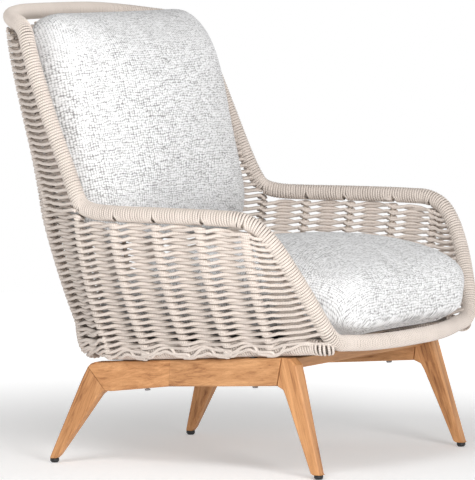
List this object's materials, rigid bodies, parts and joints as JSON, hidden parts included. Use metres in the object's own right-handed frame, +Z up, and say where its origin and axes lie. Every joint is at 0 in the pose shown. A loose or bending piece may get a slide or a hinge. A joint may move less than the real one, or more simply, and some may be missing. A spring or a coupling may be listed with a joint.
{
  "type": "outdoor lounge armchair",
  "caption": "Outdoor lounge armchair with a rope-wrapped, rope-woven shell on a splayed teak base, with loose seat and back cushions.",
  "frame": {"origin": "floor level, under the middle of the chair's overall box", "axes": "+Z up, the chair faces -Y, a sitting person's left hand is at +X; symmetric about X = 0. Nodes named left are at -X, right at +X"},
  "size_m": [0.9272, 0.8709, 0.9311],
  "materials": {
    "back_cushion": "nubby woven upholstery cloth",
    "back_rib_1_left": "powder-coated aluminium",
    "back_rib_1_right": "powder-coated aluminium",
    "back_rib_2_left": "powder-coated aluminium",
    "back_rib_2_right": "powder-coated aluminium",
    "back_rib_3_left": "powder-coated aluminium",
    "back_rib_3_right": "powder-coated aluminium",
    "back_rib_middle": "powder-coated aluminium",
    "back_weave": "braided outdoor rope",
    "frame_bolt_front_left": "stainless steel",
    "frame_bolt_front_right": "stainless steel",
    "frame_bolt_rear_left": "stainless steel",
    "frame_bolt_rear_right": "stainless steel",
    "front_cross_rail": "oiled teak",
    "front_glide_left": "matt black plastic",
    "front_glide_right": "matt black plastic",
    "front_leg_left": "oiled teak",
    "front_leg_right": "oiled teak",
    "front_seat_tube": "powder-coated aluminium",
    "knee_block_left": "oiled teak",
    "knee_block_right": "oiled teak",
    "rear_cross_rail": "oiled teak",
    "rear_glide_left": "matt black plastic",
    "rear_glide_right": "matt black plastic",
    "rear_leg_left": "oiled teak",
    "rear_leg_right": "oiled teak",
    "rear_seat_tube": "powder-coated aluminium",
    "rim_tube": "powder-coated aluminium",
    "ring_pad_front_left": "matt rubber",
    "ring_pad_front_right": "matt rubber",
    "ring_pad_rear_left": "matt rubber",
    "ring_pad_rear_right": "matt rubber",
    "seat_cushion": "nubby woven upholstery cloth",
    "seat_deck": "braided outdoor rope",
    "seat_ring": "powder-coated aluminium",
    "side_rail_left": "oiled teak",
    "side_rail_right": "oiled teak",
    "side_rib_a_left": "powder-coated aluminium",
    "side_rib_a_right": "powder-coated aluminium",
    "side_rib_b_left": "powder-coated aluminium",
    "side_rib_b_right": "powder-coated aluminium",
    "side_rib_c_left": "powder-coated aluminium",
    "side_rib_c_right": "powder-coated aluminium",
    "side_rib_d_left": "powder-coated aluminium",
    "side_rib_d_right": "powder-coated aluminium",
    "side_rib_e_left": "powder-coated aluminium",
    "side_rib_e_right": "powder-coated aluminium",
    "side_weave_left": "braided outdoor rope",
    "side_weave_right": "braided outdoor rope",
    "wrap_arm_left": "braided outdoor rope",
    "wrap_arm_right": "braided outdoor rope",
    "wrap_back_post_left": "braided outdoor rope",
    "wrap_back_post_right": "braided outdoor rope",
    "wrap_front_post_left": "braided outdoor rope",
    "wrap_front_post_right": "braided outdoor rope",
    "wrap_front_rail": "braided outdoor rope",
    "wrap_seat_ring": "braided outdoor rope",
    "wrap_top_rail": "braided outdoor rope"
  },
  "bodies": {
    "chair": {"back_rib_1_left": "back_rib_1_left", "back_rib_1_right": "back_rib_1_right", "back_rib_2_left": "back_rib_2_left", "back_rib_2_right": "back_rib_2_right", "back_rib_3_left": "back_rib_3_left", "back_rib_3_right": "back_rib_3_right", "back_rib_middle": "back_rib_middle", "back_weave": "back_weave", "frame_bolt_front_left": "frame_bolt_front_left", "frame_bolt_front_right": "frame_bolt_front_right", "frame_bolt_rear_left": "frame_bolt_rear_left", "frame_bolt_rear_right": "frame_bolt_rear_right", "front_cross_rail": "front_cross_rail", "front_glide_left": "front_glide_left", "front_glide_right": "front_glide_right", "front_leg_left": "front_leg_left", "front_leg_right": "front_leg_right", "front_seat_tube": "front_seat_tube", "knee_block_left": "knee_block_left", "knee_block_right": "knee_block_right", "rear_cross_rail": "rear_cross_rail", "rear_glide_left": "rear_glide_left", "rear_glide_right": "rear_glide_right", "rear_leg_left": "rear_leg_left", "rear_leg_right": "rear_leg_right", "rear_seat_tube": "rear_seat_tube", "rim_tube": "rim_tube", "ring_pad_front_left": "ring_pad_front_left", "ring_pad_front_right": "ring_pad_front_right", "ring_pad_rear_left": "ring_pad_rear_left", "ring_pad_rear_right": "ring_pad_rear_right", "seat_deck": "seat_deck", "seat_ring": "seat_ring", "side_rail_left": "side_rail_left", "side_rail_right": "side_rail_right", "side_rib_a_left": "side_rib_a_left", "side_rib_a_right": "side_rib_a_right", "side_rib_b_left": "side_rib_b_left", "side_rib_b_right": "side_rib_b_right", "side_rib_c_left": "side_rib_c_left", "side_rib_c_right": "side_rib_c_right", "side_rib_d_left": "side_rib_d_left", "side_rib_d_right": "side_rib_d_right", "side_rib_e_left": "side_rib_e_left", "side_rib_e_right": "side_rib_e_right", "side_weave_left": "side_weave_left", "side_weave_right": "side_weave_right", "wrap_arm_left": "wrap_arm_left", "wrap_arm_right": "wrap_arm_right", "wrap_back_post_left": "wrap_back_post_left", "wrap_back_post_right": "wrap_back_post_right", "wrap_front_post_left": "wrap_front_post_left", "wrap_front_post_right": "wrap_front_post_right", "wrap_front_rail": "wrap_front_rail", "wrap_seat_ring": "wrap_seat_ring", "wrap_top_rail": "wrap_top_rail"},
    "seat_cushion": {"seat_cushion": "seat_cushion"},
    "back_cushion": {"back_cushion": "back_cushion"}
  },
  "joints": [
    {"name": "seat_cushion_slide", "type": "slide", "parent": "chair", "child": "seat_cushion", "axis": [0, -0.9975, 0.0703], "range_m": [0, 0.66]},
    {"name": "back_cushion_lift", "type": "slide", "parent": "chair", "child": "back_cushion", "axis": [0, 0, 1], "range_m": [0, 0.55]}
  ]
}
